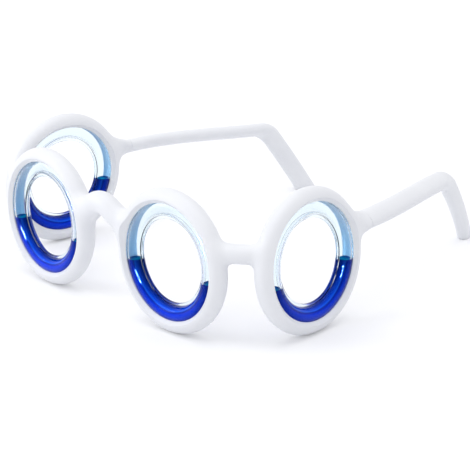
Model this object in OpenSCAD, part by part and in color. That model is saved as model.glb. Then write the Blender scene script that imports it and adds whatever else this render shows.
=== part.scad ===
// Motion sickness glasses: four round housings in a chain, each holding a clear
// ring capsule half full of blue liquid, and two arms that pull off their sockets.
// There are no lenses. Left and right are the wearer's, so left is +X, and the
// front faces -Y. The glasses stand on the ground plane z = 0, on the four
// housings and the two arm tips, with the origin under the middle of their box.

/* [Ring housings] */
// Outer diameter of each white housing
ring_d = 51.8; // [46:0.2:58]
// Thickness of the housing's round section
shell_t = 7.8; // [7:0.1:9]
// Width of the white rim, from the lip on the clear tube to the outside
rim_w = 4.9; // [4.4:0.1:5.4]
// Straight wall of the lip above the clear tube
lip_wall = 0.25; // [0.1:0.05:0.5]
// Slope of the shoulder that rises from the lip
shoulder_angle = 41; // [35:1:50]

/* [Ring layout] */
// Distance between the centres of the two front rings
front_spacing = 69.6; // [64:0.2:80]
// Angle by which the front rings turn outwards
front_wrap = 2.4; // [0:0.1:8]
// Lean of the front rings, tops towards the forehead
front_lean = 1.8; // [0:0.1:5]
// Distance between the centres of the two side rings
side_spacing = 138.4; // [132:0.2:152]
// Distance of the side rings' centres behind the front rings' centres
side_setback = 32.2; // [29:0.2:38]
// Angle between a side ring's outward axis and straight ahead
side_wrap = 94.9; // [90:0.1:98]
// Lean of the side rings, tops towards the head
side_lean = 3.6; // [0:0.1:6]

/* [Ring capsules] */
// Thickness of the clear round tube
capsule_t = 6.2; // [5.4:0.1:6.6]
// Wall of the clear tube
capsule_wall = 0.75; // [0.5:0.05:1]
// How far the housing's lip reaches over the tube
lip_overlap = 1.2; // [0.8:0.05:1.5]
// Width of the weld flange inside the tube
flange_w = 1.0; // [0.6:0.1:1.6]
// Thickness of the weld flange, both halves together
flange_t = 0.8; // [0.5:0.1:1.2]
// Clearance between a capsule and its groove
groove_gap = 0.05; // [0.02:0.01:0.1]

/* [Liquid and fill plugs] */
// Depth of the liquid's surface under the ring's centre
liquid_drop = 4.7; // [0:0.1:8]
// The same in the front left ring, which holds a little more
front_left_liquid_drop = 3.7; // [0:0.1:8]
// Clearance between the liquid and the channel wall
liquid_gap = 0.05; // [0.02:0.01:0.1]
// Diameter of the fill hole in the rim of a capsule
fill_hole_d = 1.4; // [1:0.1:2]
// Clearance of the plug in its hole
plug_gap = 0.02; // [0.01:0.01:0.05]

/* [Nose bridge] */
// Height of the hump's centreline above the ring centres
bridge_rise = 13.85; // [11:0.05:16]
// Distance of the hump in front of the ring centres
bridge_forward = 2.2; // [0:0.1:5]
// Radius of the hump along the centreline
hump_r = 8; // [5:0.5:16]
// Thickness of the bridge at the hump
bridge_t = 8.1; // [7:0.1:10]
// Height of the bridge's tall section where it joins a ring
bridge_root_h = 12; // [10:0.5:16]
// Angle above level at which the bridge joins a front ring
bridge_join = 17; // [10:0.5:30]

/* [Side bars] */
// Height of the bars above the ring centres
bar_rise = 7.8; // [3:0.1:10]
// Thickness of a bar at its middle
bar_t = 7; // [5:0.1:8]
// Height of the tall section where a bar joins a ring
bar_root_h = 12.5; // [8:0.5:14]

/* [Arm sockets] */
// Height of the arm roots above the ring centres
arm_rise = 6.3; // [3:0.1:10]
// Length of a socket behind the housing's rim
socket_reach = 5.7; // [4:0.1:8]
// Height of the tall section where a socket joins its ring
socket_root_h = 15; // [9:0.5:18]
// Diameter of the spigot that plugs the arm in
spigot_d = 3; // [2.4:0.1:3.6]
// Length of the spigot
spigot_l = 7; // [4:0.1:7.4]
// Distance of the spigot's flat from its axis
spigot_flat = 1.15; // [0.9:0.05:1.5]
// Running clearance around the spigot
spigot_gap = 0.05; // [0.02:0.01:0.1]
// Gap at the seam between socket and arm
seam_gap = 0.1; // [0.05:0.01:0.3]

/* [Arms] */
// Wide thickness of an arm at the seam
arm_root_wide = 8.2; // [7:0.1:9]
// Narrow thickness of an arm at the seam
arm_root_thin = 5.3; // [4.8:0.1:6]
// Wide thickness of an arm along its run
arm_wide = 7.8; // [6:0.1:9]
// Narrow thickness of an arm along its run
arm_thin = 5.1; // [4.4:0.1:5.8]
// Angle by which an arm closes in at its seam
seam_angle = 4; // [0:0.1:15]
// Angle by which it closes in from the seam to the bend
arm_angle = 15.1; // [8:0.1:20]
// Angle by which it closes in just before the bend
bend_angle = 13.7; // [5:0.1:25]
// Downward slope of the run just before the bend
run_angle = 4; // [0:0.1:6]
// Level distance from the seam to the bend
arm_run = 63.2; // [55:0.1:80]
// Height of the bend above the ground
bend_z = 29; // [24:0.1:34]
// Radius of the bend along the centreline
bend_r = 10; // [8:0.5:15]
// Slope of the tail just behind the bend
tail_start_angle = 55; // [40:0.5:70]
// Angle by which the tail closes in just behind the bend
tail_start_in_angle = 9.5; // [0:0.5:20]
// Slope of the tail from the bend down to the foot
tail_angle = 57.7; // [45:0.1:75]
// Angle by which the tail closes in from the bend to the foot
tail_in_angle = 16.5; // [5:0.5:25]
// Lean of the wide side along the run, top towards the head
run_lean = 64; // [30:1:75]
// Lean of the wide side at the tail
tail_lean = 6; // [0:1:60]

/* [Hidden] */

LEFT = 1;
RIGHT = -1;
$fn = 96;
// Sides of a swept section, and rings along each stretch of a sweep
SIDES = 28;
LINK_STEPS = 14;
BRIDGE_STEPS = 18;
RUN_STEPS = 16;
BEND_STEPS = 8;
TAIL_STEPS = 5;
// Roundness of the arms' section, where 2 is an ellipse
ARM_POWER = 2.3;
// Small overlap that lets cuts pass cleanly through a face
CUT = 1;

shell_r = shell_t / 2;
shell_R = ring_d / 2 - shell_r;
window_r = ring_d / 2 - rim_w;
capsule_r = capsule_t / 2;
capsule_R = window_r + lip_overlap - capsule_r;
channel_r = capsule_r - capsule_wall;
eye_r = capsule_R - capsule_r - flange_w;
// Height of the tube's surface at the lip, above the ring's middle plane
grip_z = sqrt(capsule_r ^ 2 - (window_r - capsule_R) ^ 2);
lip_z = grip_z + lip_wall;
// The housings stand on the ground whether they are upright or lean
front_z = shell_R * cos(front_lean) + shell_r;
side_z = shell_R * cos(side_lean) + shell_r;
plug_in = capsule_R + channel_r + liquid_gap;
plug_out = capsule_R + capsule_r - groove_gap;
plug_r = fill_hole_d / 2 - plug_gap;
// The spigot is rooted this deep in the arm
spigot_bed = spigot_l / 2;

WHITE = [0.95, 0.96, 0.98];
CLEAR = [0.72, 0.86, 0.95, 0.5];
BLUE = [0.02, 0.15, 0.78];

function unit(v) = v / norm(v);

// Places on the rings, on the wearer's left, before the origin is centred.
// A point is given in a ring's own plane: along is level, towards the next
// ring of the chain, and up is up that plane.
function ring_point(centre, wrap, lean, along, up) =
    centre + along * [cos(wrap), sin(wrap), 0]
    + up * [-sin(lean) * sin(wrap), sin(lean) * cos(wrap), cos(lean)];
front_centre = [front_spacing / 2, 0, front_z];
side_centre = [side_spacing / 2, side_setback, side_z];
function front_point(along, up) = ring_point(front_centre, front_wrap, front_lean, along, up);
function side_point(along, up) = ring_point(side_centre, side_wrap, side_lean, along, up);
// Level distance from a ring's centre to its section's centreline at a height
function level(up) = sqrt(shell_R ^ 2 - up ^ 2);

// Axes of a swept section: towards the head or back, then upwards
function sideways(t) = unit(cross([0, 0, 1], t));
function upwards(t) = cross(t, sideways(t));

// A station of a sweep is [place, direction, half height, half width, lean, power]
function curve(a, p) = sign(a) * abs(a) ^ (2 / p);
function section_point(s, angle) =
    let (h = sideways(s[1]), u = upwards(s[1]))
    let (tall = u * cos(s[4]) + h * sin(s[4]), wide = h * cos(s[4]) - u * sin(s[4]))
    s[0] + tall * s[2] * curve(sin(angle), s[5]) + wide * s[3] * curve(cos(angle), s[5]);
function section_ring(s) = [for (i = [0:SIDES - 1]) section_point(s, 360 * i / SIDES)];
// The foot of a leg: a section carried along its direction to the ground
function ground_ring(s) = [for (p = section_ring(s)) p - s[1] * p[2] / s[1][2]];

// Links flare towards the housings, which they enter this much narrower
ROOT_FILL = 0.8;
root_half_w = shell_r * ROOT_FILL;
// The larger this is, the nearer to the housing a link starts to flare
LINK_FLARE = 2;
BRIDGE_FLARE = 4;
function flare(f, mid, end, power) = mid + (end - mid) * abs(f) ^ power;

// Nose bridge: a hump with a straight slope on either side, down to the front rings
join = front_point(-shell_R * cos(bridge_join), shell_R * sin(bridge_join));
hump_top = front_z + bridge_rise;
hump_base = hump_top - hump_r;
join_far = norm([join[0], join[2] - hump_base]);
// Half the turn of the hump, so that its slopes run on to the joins
hump_half = asin(hump_r / join_far) - atan((join[2] - hump_base) / join[0]);
hump_arc = hump_r * hump_half * PI / 180;
slope_l = sqrt(join_far ^ 2 - hump_r ^ 2);
// How far the bridge falls back from the hump to a join
bridge_back = join[1] + bridge_forward;
function bridge_station(f) =
    let (far = abs(f) * (hump_arc + slope_l), side = f < 0 ? -1 : 1)
    let (a = min(far / hump_arc, 1) * hump_half, along = max(far - hump_arc, 0))
    [[side * (hump_r * sin(a) + along * cos(a)), bridge_back * f * f - bridge_forward,
      hump_top - hump_r * (1 - cos(a)) - along * sin(a)],
     unit([cos(a), 2 * bridge_back * f / join[0], -side * sin(a)]),
     flare(f, bridge_t / 2, bridge_root_h / 2, BRIDGE_FLARE),
     flare(f, bridge_t / 2, root_half_w, BRIDGE_FLARE), 0, 2];
bridge_stations = [for (i = [-BRIDGE_STEPS:BRIDGE_STEPS]) bridge_station(i / BRIDGE_STEPS)];

// Side bar: a short straight link from a front ring to the side ring's front
bar_a = front_point(level(bar_rise), bar_rise);
bar_b = side_point(-level(bar_rise), bar_rise);
function bar_station(f) =
    [(bar_a + bar_b) / 2 + (bar_b - bar_a) * f / 2, unit(bar_b - bar_a),
     flare(f, bar_t / 2, bar_root_h / 2, LINK_FLARE),
     flare(f, bar_t / 2, root_half_w, LINK_FLARE), 0, 2];
bar_stations = [for (i = [-LINK_STEPS:2:LINK_STEPS]) bar_station(i / LINK_STEPS)];

// Arm: a slightly bowed run from the seam, a bend and a tail to the ground
function heading(in, drop) = [-sin(in), cos(in), -tan(drop)];
seam_dir = heading(seam_angle, 0);
root = side_point(level(arm_rise), arm_rise);
seam = root + seam_dir * (shell_r + socket_reach);
corner_plan = seam + heading(arm_angle, 0) * arm_run;
corner = [corner_plan[0], corner_plan[1], bend_z];
// The run's curve leaves the seam towards one pull and meets the bend from the other
pull_a = seam + seam_dir * arm_run / 3;
pull_b = corner - heading(bend_angle, run_angle) * arm_run / 3;
function run_place(s) =
    seam * (1 - s) ^ 3 + pull_a * 3 * s * (1 - s) ^ 2 + pull_b * 3 * s ^ 2 * (1 - s) + corner * s ^ 3;
function run_slope(s) =
    unit((pull_a - seam) * (1 - s) ^ 2 + (pull_b - pull_a) * 2 * s * (1 - s)
         + (corner - pull_b) * s ^ 2);
tail_dir = unit(heading(tail_start_in_angle, tail_start_angle));
// The bend starts at this share of the run and turns from bend_dir to the tail
bend_at = 1 - bend_r * tan(acos(run_slope(1) * tail_dir) / 2) / arm_run;
bend_dir = run_slope(bend_at);
turn = acos(bend_dir * tail_dir);
turn_dir = unit(tail_dir - bend_dir * (bend_dir * tail_dir));
function bend_place(f) =
    run_place(bend_at) + bend_r * (sin(turn * f) * bend_dir + (1 - cos(turn * f)) * turn_dir);
bend_end = bend_place(1);
foot = corner + heading(tail_in_angle, tail_angle) * bend_z / tan(tail_angle);
pull_c = bend_end + tail_dir * norm(foot - bend_end) / 2;
function tail_place(f) = bend_end * (1 - f) ^ 2 + pull_c * 2 * f * (1 - f) + foot * f ^ 2;
function tail_heading(f) = unit((pull_c - bend_end) * (1 - f) + (foot - pull_c) * f);
// Share of the run over which the root's oval turns into the arm's section
ROOT_SHARE = 0.45;
function ease(f) = let (c = min(max(f, 0), 1)) c * c * (3 - 2 * c);
function run_station(f) =
    let (g = ease(f / ROOT_SHARE))
    [run_place(bend_at * f), f == 0 ? seam_dir : run_slope(bend_at * f),
     arm_root_wide / 2 + (arm_wide - arm_root_wide) / 2 * g,
     arm_root_thin / 2 + (arm_thin - arm_root_thin) / 2 * g, run_lean, 2 + (ARM_POWER - 2) * g];
function bend_station(f) =
    [bend_place(f), cos(turn * f) * bend_dir + sin(turn * f) * turn_dir,
     arm_wide / 2, arm_thin / 2, run_lean + (tail_lean - run_lean) * f, ARM_POWER];
function tail_station(f) =
    [tail_place(f), tail_heading(f), arm_wide / 2, arm_thin / 2, tail_lean, ARM_POWER];
arm_stations = concat(
    [for (i = [0:RUN_STEPS]) run_station(i / RUN_STEPS)],
    [for (i = [1:BEND_STEPS]) bend_station(i / BEND_STEPS)],
    [for (i = [1:TAIL_STEPS - 1]) tail_station(i / TAIL_STEPS)]);
arm_foot = ground_ring(tail_station(1));

// Socket: flares from the seam into the housing's rim
function socket_station(f) =
    [seam + (root - seam) * f, seam_dir,
     flare(f, arm_root_wide / 2, socket_root_h / 2, LINK_FLARE),
     flare(f, arm_root_thin / 2, root_half_w, LINK_FLARE), run_lean * (1 - f) ^ 2, 2];
socket_stations = [for (i = [LINK_STEPS:-1:0]) socket_station(i / LINK_STEPS)];

// The origin lies midway between the front of the hump and the back of the feet
front_y = min([for (s = bridge_stations, p = section_ring(s)) p[1]]);
back_y = max([for (p = arm_foot) p[1]]);
mid_y = (front_y + back_y) / 2;

// Solid through a list of rings of points, each with SIDES points
module skin(rings) {
    n = len(rings);
    points = [for (r = rings, p = r) p];
    sides = [
        for (j = [0:n - 2], i = [0:SIDES - 1])
            let (a = j * SIDES + i, b = j * SIDES + (i + 1) % SIDES)
            each [[a, a + SIDES, b], [b, a + SIDES, b + SIDES]]
    ];
    caps = [
        [for (i = [0:SIDES - 1]) i],
        [for (i = [SIDES - 1:-1:0]) (n - 1) * SIDES + i]
    ];
    polyhedron(points = points, faces = concat(sides, caps), convexity = 6);
}

module sweep(stations) {
    skin([for (s = stations) section_ring(s)]);
}

// Puts the wearer's left half, drawn with y = 0 at the front rings, in its place
module handed(hand) {
    translate([0, -mid_y, 0])
        if (hand == LEFT) children();
        else mirror([1, 0, 0]) children();
}

// Lays a ring that is drawn around Z, front upwards, at its place in the chain
module front_ring() {
    translate(front_centre) rotate([90 - front_lean, 0, front_wrap]) children();
}

module side_ring() {
    translate(side_centre) rotate([90 - side_lean, 0, side_wrap]) children();
}

// Half section of the white housing, with X along the radius and Y along the axis
module housing_section() {
    rise = shell_r - lip_z + CUT;
    run = rise / tan(shoulder_angle);
    difference() {
        translate([shell_R, 0]) circle(r = shell_r);
        translate([0, -ring_d]) square([window_r, 2 * ring_d]);
        for (m = [0, 1])
            mirror([0, m]) polygon([
                [window_r - CUT, lip_z], [window_r, lip_z],
                [window_r + run, lip_z + rise], [window_r - CUT, lip_z + rise]
            ]);
        translate([capsule_R, 0]) circle(r = capsule_r + groove_gap);
    }
}

module housing() {
    color(WHITE) rotate_extrude() housing_section();
}

module side_housing(hand) {
    color(WHITE) handed(hand) difference() {
        side_ring() housing();
        spigot_hole();
    }
}

// The whole disc that a ring takes up, which the bridge, bars and sockets stop at
module ring_keepout() {
    rotate_extrude() {
        translate([shell_R, 0]) circle(r = shell_r);
        translate([0, -shell_r]) square([shell_R, shell_t]);
    }
}

module nose_bridge() {
    color(WHITE) translate([0, -mid_y, 0]) difference() {
        sweep(bridge_stations);
        front_ring() ring_keepout();
        mirror([1, 0, 0]) front_ring() ring_keepout();
    }
}

module side_bar(hand) {
    color(WHITE) handed(hand) difference() {
        sweep(bar_stations);
        front_ring() ring_keepout();
        side_ring() ring_keepout();
    }
}

// A round rod with one flat on top, along +Z from the origin
module flat_rod(r, flat, length) {
    intersection() {
        cylinder(r = r, h = length);
        translate([-r - CUT, -r - CUT, -CUT])
            cube([2 * (r + CUT), r + CUT + flat, length + 2 * CUT]);
    }
}

// Lies along the arm's axis at the seam, pointing forwards into the socket
module at_seam() {
    translate(seam) rotate([90, 0, seam_angle]) children();
}

// The blind hole for the spigot, through the socket and into the housing's rim
module spigot_hole() {
    at_seam() translate([0, 0, -CUT])
        flat_rod(spigot_d / 2 + spigot_gap, spigot_flat + spigot_gap,
                 spigot_l + spigot_gap + CUT);
}

module arm_socket(hand) {
    color(WHITE) handed(hand) difference() {
        sweep(socket_stations);
        side_ring() ring_keepout();
        spigot_hole();
    }
}

module arm(hand) {
    color(WHITE) handed(hand) {
        difference() {
            skin(concat([for (s = arm_stations) section_ring(s)], [arm_foot]));
            at_seam() translate([-arm_wide, -arm_wide, -seam_gap])
                cube([2 * arm_wide, 2 * arm_wide, arm_wide]);
        }
        at_seam() translate([0, 0, -spigot_bed])
            flat_rod(spigot_d / 2, spigot_flat, spigot_bed + spigot_l - seam_gap);
    }
}

// One half of the clear tube, above its middle plane, with its weld flange
module capsule_half() {
    color(CLEAR) difference() {
        rotate_extrude() difference() {
            union() {
                translate([capsule_R, 0]) circle(r = capsule_r);
                translate([eye_r, -flange_t / 2]) square([flange_w + capsule_wall, flange_t]);
            }
            translate([capsule_R, 0]) circle(r = channel_r);
            translate([0, -ring_d]) square([ring_d, ring_d]);
        }
        fill_bore(fill_hole_d / 2, capsule_R, ring_d / 2);
    }
}

// A round bar up the ring's plane, from one radius to another
module fill_bore(r, from, to) {
    translate([0, from, 0]) rotate([-90, 0, 0]) cylinder(r = r, h = to - from);
}

// Fills the channel below a level plane; lean is the ring's own lean
module liquid(lean, drop = liquid_drop) {
    color(BLUE) difference() {
        rotate_extrude() translate([capsule_R, 0]) circle(r = channel_r - liquid_gap);
        rotate([lean, 0, 0]) translate([-ring_d, -drop, -ring_d])
            cube([2 * ring_d, 2 * ring_d, 2 * ring_d]);
    }
}

module fill_plug() {
    color(CLEAR) fill_bore(plug_r, plug_in, plug_out);
}

// Lays a ring's piece at the front or side on one hand
module station(front, hand) {
    handed(hand)
        if (front) front_ring() children();
        else side_ring() children();
}

station(true, LEFT) housing();  // front_left_housing
station(true, RIGHT) housing();  // front_right_housing
side_housing(LEFT);  // side_left_housing
side_housing(RIGHT);  // side_right_housing
nose_bridge();
side_bar(LEFT);  // left_side_bar
side_bar(RIGHT);  // right_side_bar
arm_socket(LEFT);  // left_arm_socket
arm_socket(RIGHT);  // right_arm_socket
arm(LEFT);  // left_arm
arm(RIGHT);  // right_arm
station(true, LEFT) capsule_half();  // front_left_capsule_outer
station(true, RIGHT) capsule_half();  // front_right_capsule_outer
station(false, LEFT) capsule_half();  // side_left_capsule_outer
station(false, RIGHT) capsule_half();  // side_right_capsule_outer
station(true, LEFT) mirror([0, 0, 1]) capsule_half();  // front_left_capsule_inner
station(true, RIGHT) mirror([0, 0, 1]) capsule_half();  // front_right_capsule_inner
station(false, LEFT) mirror([0, 0, 1]) capsule_half();  // side_left_capsule_inner
station(false, RIGHT) mirror([0, 0, 1]) capsule_half();  // side_right_capsule_inner
station(true, LEFT) liquid(front_lean, front_left_liquid_drop);  // front_left_liquid
station(true, RIGHT) liquid(front_lean);  // front_right_liquid
station(false, LEFT) liquid(side_lean);  // side_left_liquid
station(false, RIGHT) liquid(side_lean);  // side_right_liquid
station(true, LEFT) fill_plug();  // front_left_fill_plug
station(true, RIGHT) fill_plug();  // front_right_fill_plug
station(false, LEFT) fill_plug();  // side_left_fill_plug
station(false, RIGHT) fill_plug();  // side_right_fill_plug
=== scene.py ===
"""Looks of the motion sickness glasses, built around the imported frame.

Sizes are in millimetres in the frame's axes and become metres where a mesh is made.
Places and sizes of lamps, camera and material nodes are in metres, given angles in degrees.
Left is the wearer's left, +X, and the front faces -Y. The left half is worked out and
the right half is its mirror.
"""

import math

import bpy
import numpy as np
from mathutils import Matrix, Vector


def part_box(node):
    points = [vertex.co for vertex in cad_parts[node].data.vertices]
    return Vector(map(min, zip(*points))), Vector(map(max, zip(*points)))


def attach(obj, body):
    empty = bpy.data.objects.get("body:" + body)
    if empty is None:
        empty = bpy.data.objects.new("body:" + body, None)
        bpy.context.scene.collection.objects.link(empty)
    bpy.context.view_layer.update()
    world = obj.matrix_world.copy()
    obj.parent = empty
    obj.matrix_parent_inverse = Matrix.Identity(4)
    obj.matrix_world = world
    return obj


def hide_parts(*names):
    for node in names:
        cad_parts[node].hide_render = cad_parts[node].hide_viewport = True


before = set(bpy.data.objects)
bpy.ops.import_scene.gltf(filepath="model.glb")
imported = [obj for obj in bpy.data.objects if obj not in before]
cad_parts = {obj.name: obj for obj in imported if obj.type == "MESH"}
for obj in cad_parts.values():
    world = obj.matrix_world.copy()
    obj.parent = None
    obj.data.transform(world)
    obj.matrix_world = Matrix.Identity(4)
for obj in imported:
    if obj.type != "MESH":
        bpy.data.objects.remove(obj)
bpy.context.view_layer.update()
MM = 0.001

# Rings: the same driving sizes as the frame's own
RING_R = 22.0
SHELL_R = 3.9
WINDOW_R = 21.0
LIP_Z = 2.70
SHOULDER = 41
TUBE_R = 19.1
TUBE_T = 3.1
CHANNEL_T = 2.35
FLANGE_IN = 15.0
FLANGE_HALF = 0.4
GROOVE = 0.05
FRONT_WRAP, FRONT_LEAN = 2.4, 1.8
SIDE_WRAP, SIDE_LEAN = 94.9, 3.6
LIQUID_DROP, FRONT_LEFT_DROP = 4.7, 3.7

# Small forms of the visible pieces alone
LIP_ROUND = 0.14
LIQUID_T = 2.33
MENISCUS = 0.35
MENISCUS_W = 0.16
TINY = 1e-9


def box_mm(node):
    lo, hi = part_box(node)
    return np.array(lo) / MM, np.array(hi) / MM


def unit(v):
    return np.asarray(v, float) / np.linalg.norm(v)


def cosd(a):
    return math.cos(math.radians(a))


def sind(a):
    return math.sin(math.radians(a))


def tand(a):
    return math.tan(math.radians(a))


class Ring:
    """One ring's place: its centre and its axes, along the chain, up and front."""

    def __init__(self, node, wrap, lean):
        lo, hi = box_mm(node)
        self.centre = (lo + hi) / 2
        self.lean = lean
        along = [cosd(wrap), sind(wrap), 0]
        up = [-sind(wrap) * sind(lean), cosd(wrap) * sind(lean), cosd(lean)]
        self.axes = np.array([along, up, np.cross(along, up)])

    def place(self, p):
        return np.asarray(p) @ self.axes + self.centre

    def local(self, p):
        return (p - self.centre) @ self.axes.T

    def point(self, along, up):
        return self.place([along, up, 0])


# A housing is a ring of revolution, so the middle of its box is the ring's centre
FRONT = Ring("front_left_housing", FRONT_WRAP, FRONT_LEAN)
SIDE = Ring("side_left_housing", SIDE_WRAP, SIDE_LEAN)
# Each ring and its hand: 1 on the left half and -1 on its mirror
RINGS = {"front_left": (FRONT, 1), "front_right": (FRONT, -1),
         "side_left": (SIDE, 1), "side_right": (SIDE, -1)}
HALVES = {"outer": 1, "inner": -1}


def level(up):
    """How far from a ring's upright axis its middle circle is at a height."""
    return math.sqrt(RING_R ** 2 - up ** 2)


def liquid_drop(name):
    return FRONT_LEFT_DROP if name == "front_left" else LIQUID_DROP


# Meshes
def to_object(name, verts, faces, materials, smooth=True, slots=None):
    mesh = bpy.data.meshes.new(name)
    mesh.from_pydata((np.asarray(verts) * MM).tolist(), [], [list(map(int, f)) for f in faces])
    for m in materials:
        mesh.materials.append(m)
    if slots is not None:
        mesh.polygons.foreach_set("material_index", np.asarray(slots, np.int32))
    mesh.polygons.foreach_set("use_smooth", np.full(len(mesh.polygons), smooth))
    mesh.validate()
    mesh.update()
    ob = bpy.data.objects.new(name, mesh)
    bpy.context.scene.collection.objects.link(ob)
    return ob


def mirrored(verts, faces):
    return np.asarray(verts) * [-1, 1, 1], [list(f)[::-1] for f in faces]


def for_hand(verts, faces, hand):
    """The left half's mesh for hand 1, and its mirror for hand -1."""
    return (verts, faces) if hand > 0 else mirrored(verts, faces)


def outward(verts, faces):
    """Turns a closed shell's faces outward."""
    t = np.array([(q[0], q[i], q[i + 1]) for q in faces for i in range(1, len(q) - 1)])
    a, b, c = (np.asarray(verts)[t[:, k]] for k in range(3))
    volume = np.einsum("ij,ij->i", a, np.cross(b, c)).sum()
    return (verts, faces) if volume > 0 else (verts, [list(q)[::-1] for q in faces])


def arc(centre, r, start, end, steps):
    t = np.radians(np.linspace(start, end, steps))
    return np.stack([centre[0] + r * np.cos(t), centre[1] + r * np.sin(t)], -1)


def lathe(profile, steps, closed=True):
    """Turns a profile of (radius, height) points about the local Z axis."""
    turn = np.linspace(0, 2 * math.pi, steps, endpoint=False)
    pr = np.asarray(profile, float)
    n = len(pr)
    verts = np.stack([
        np.outer(np.cos(turn), pr[:, 0]), np.outer(np.sin(turn), pr[:, 0]),
        np.tile(pr[:, 1], (steps, 1))], -1).reshape(-1, 3)
    faces, last = [], n if closed else n - 1
    for i in range(steps):
        a, b = i * n, (i + 1) % steps * n
        for j in range(last):
            k = (j + 1) % n
            faces.append([a + j, b + j, b + k, a + k])
    return verts, faces


def capped_lathe(profile, steps):
    """A lathe whose first and last points lie on the axis."""
    v, f = lathe(profile[1:-1], steps, closed=False)
    n = len(profile) - 2
    v = np.vstack([v, [[0, 0, profile[0][1]], [0, 0, profile[-1][1]]]])
    top, bottom = len(v) - 2, len(v) - 1
    for i in range(steps):
        a, b = i * n, (i + 1) % steps * n
        f.append([a, top, b])
        f.append([b + n - 1, bottom, a + n - 1])
    return v, f


def loft(rings, capped=True):
    n, m = len(rings), len(rings[0])
    verts = np.vstack(rings)
    faces = []
    for j in range(n - 1):
        for i in range(m):
            a, b = j * m + i, j * m + (i + 1) % m
            faces.append([a, b, b + m, a + m])
    if capped:
        faces.append(list(range(m))[::-1])
        faces.append(list(range((n - 1) * m, n * m)))
    return verts, faces


def boolean(ob, other, kind):
    m = ob.modifiers.new("cut", "BOOLEAN")
    m.object, m.operation, m.solver = other, kind, "MANIFOLD"
    dg = bpy.context.evaluated_depsgraph_get()
    made = bpy.data.meshes.new_from_object(ob.evaluated_get(dg))
    ob.modifiers.clear()
    old = ob.data
    ob.data = made
    bpy.data.meshes.remove(old)
    bpy.data.objects.remove(other)


def sharpen(ob, angle):
    ob.data.polygons.foreach_set("use_smooth", np.full(len(ob.data.polygons), True))
    ob.data.set_sharp_from_angle(angle=math.radians(angle))
    ob.data.update()


# Swept sections. A sweep's distance is worked out within its reach, and is FAR beyond it
SWEEP_REACH = 7
FAR = 9.0
BATCH = 20000
ON_AXIS = 1e-6


def sideways(t):
    return unit(np.cross([0, 0, 1], t))


def between(values, a, share):
    return values[a] * (1 - share) + values[a + 1] * share


class Sweep:
    """A path of stations: place, direction, half height, half width and lean."""

    def __init__(self, stations):
        self.c = np.array([s[0] for s in stations])
        self.t = np.array([unit(s[1]) for s in stations])
        self.h = np.array([s[2] for s in stations], float)
        self.w = np.array([s[3] for s in stations], float)
        self.side = np.array([sideways(t) for t in self.t])
        self.up = np.cross(self.t, self.side)
        lean = np.radians([s[4] for s in stations])[:, None]
        self.up, self.side = (self.up * np.cos(lean) + self.side * np.sin(lean),
                              self.side * np.cos(lean) - self.up * np.sin(lean))
        self.gap = np.linalg.norm(np.diff(self.c, axis=0), axis=1).mean()
        reach = max(self.h.max(), self.w.max()) + SWEEP_REACH
        self.lo, self.hi = self.c.min(0) - reach, self.c.max(0) + reach

    def distance(self, p):
        """Rough distance outside the swept body, right near its surface."""
        out = np.full(len(p), FAR)
        near = np.where(((p > self.lo) & (p < self.hi)).all(1))[0]
        for some in np.array_split(near, len(near) // BATCH + 1):
            out[some] = self.near_distance(p[some])
        return out

    def near_distance(self, p):
        i = ((p[:, None] - self.c[None]) ** 2).sum(-1).argmin(1)
        f = i + np.einsum("ij,ij->i", p - self.c[i], self.t[i]) / self.gap
        beyond = (f < 0) | (f > len(self.c) - 1)
        f = f.clip(0, len(self.c) - 1)
        a = np.minimum(f.astype(int), len(self.c) - 2)
        share = f - a
        each = share[:, None]
        v = p - between(self.c, a, each)
        h, w = between(self.h, a, share), between(self.w, a, share)
        x = np.einsum("ij,ij->i", v, between(self.side, a, each))
        y = np.einsum("ij,ij->i", v, between(self.up, a, each))
        past = np.abs(np.einsum("ij,ij->i", v, between(self.t, a, each)))
        z = np.where(beyond, past, 0)
        k0 = np.hypot(x / w, y / h)
        k1 = np.hypot(x / w ** 2, y / h ** 2)
        d = k0 * (k0 - 1) / np.maximum(k1, TINY)
        d = np.where(k0 < ON_AXIS, -np.minimum(h, w), d)
        return np.where(z == 0, d, np.where(d > 0, np.hypot(d, z), np.maximum(d, z)))


def flare(f, mid, end, power):
    return mid + (end - mid) * abs(f) ** power


# Nose bridge, side bar and arm socket, on the left half
BRIDGE_RISE, BRIDGE_FORWARD, HUMP_R, BRIDGE_T, BRIDGE_JOIN = 13.85, 2.2, 8.0, 8.1, 17
BRIDGE_ROOT_H, BRIDGE_ROOT_W, BRIDGE_FLARE, BRIDGE_SOFT = 10.5, 5.6, 4, 4.0
BAR_RISE, BAR_T, BAR_ROOT_H, BAR_ROOT_W, BAR_SOFT = 7.8, 6.9, 8.6, 5.4, 2.2
ARM_RISE, SOCKET_REACH, SOCKET_ROOT_H, SOCKET_ROOT_W, SOCKET_SOFT = 6.3, 5.7, 12.0, 5.0, 3.5
ARM_ROOT_WIDE, ARM_ROOT_THIN, RUN_LEAN = 8.2, 5.3, 64
LINK_FLARE = 2
SEAM_IN = 4
SOCKET_OVER = 2.0
STATIONS = 90

join = FRONT.point(-RING_R * cosd(BRIDGE_JOIN), RING_R * sind(BRIDGE_JOIN))
join_back = join[1] - FRONT.centre[1]
hump_top = FRONT.centre[2] + BRIDGE_RISE
hump_base = hump_top - HUMP_R
join_far = math.hypot(join[0], join[2] - hump_base)
hump_half = math.asin(HUMP_R / join_far) - math.atan((join[2] - hump_base) / join[0])
hump_arc = HUMP_R * hump_half
slope_l = math.sqrt(join_far ** 2 - HUMP_R ** 2)
bridge_back = join_back + BRIDGE_FORWARD
bar_a = FRONT.point(level(BAR_RISE), BAR_RISE)
bar_b = SIDE.point(-level(BAR_RISE), BAR_RISE)
seam_dir = np.array([-sind(SEAM_IN), cosd(SEAM_IN), 0])
root = SIDE.point(level(ARM_RISE), ARM_RISE)
seam = root + seam_dir * (SHELL_R + SOCKET_REACH)


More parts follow.
